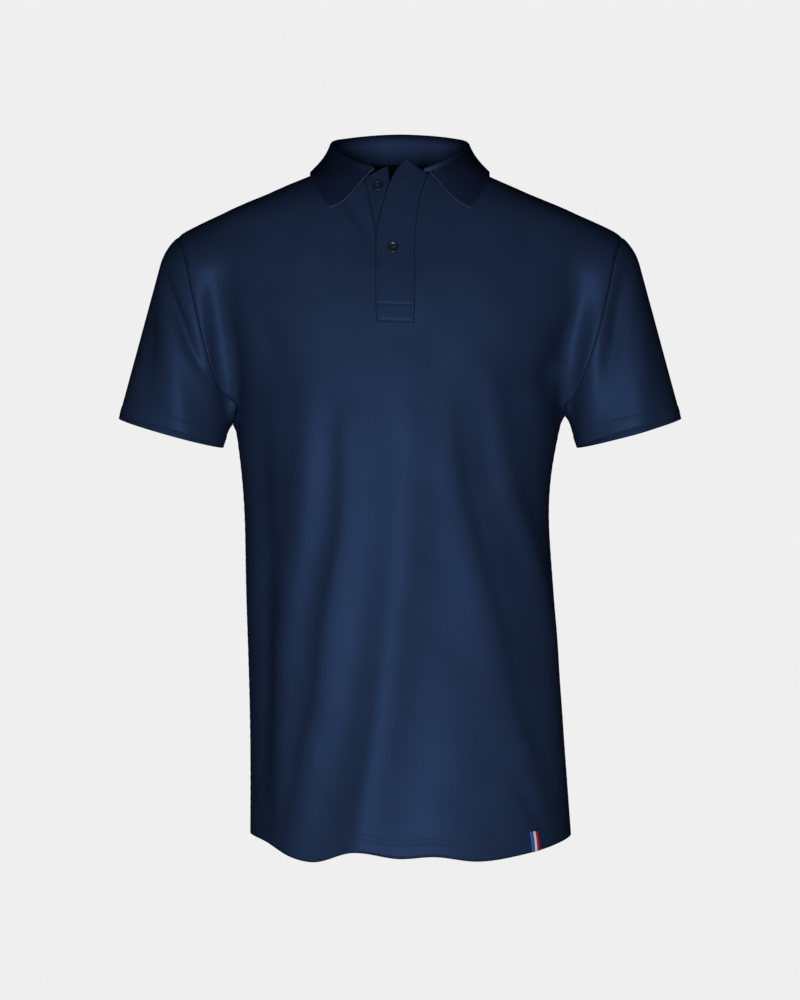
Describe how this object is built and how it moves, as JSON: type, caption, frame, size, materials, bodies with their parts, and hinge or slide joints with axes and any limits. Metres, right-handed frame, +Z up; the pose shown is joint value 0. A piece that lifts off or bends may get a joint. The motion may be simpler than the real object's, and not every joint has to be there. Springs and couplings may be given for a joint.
{
  "type": "polo shirt",
  "caption": "Short-sleeved piqué polo shirt standing hollow in its worn form, with a folded collar, an open placket and two buttons",
  "frame": {"origin": "midway between the two neck ends of the shoulder seams, where the wearer's neck and shoulders hold the shirt", "axes": "+Z up, the front of the shirt faces -Y, and +X is the wearer's left"},
  "size_m": [0.598, 0.2428, 0.77],
  "materials": {
    "cloth": "matte",
    "collar_knit": "matte",
    "button": "gloss",
    "tab": "matte"
  },
  "bodies": {
    "root": {"front_panel": "cloth", "back_panel": "cloth", "sleeve_left": "cloth", "sleeve_right": "cloth", "collar": "collar_knit", "placket_top": "cloth", "placket_under": "cloth", "button_upper": "button", "button_lower": "button", "hem_tab": "tab"}
  },
  "joints": []
}
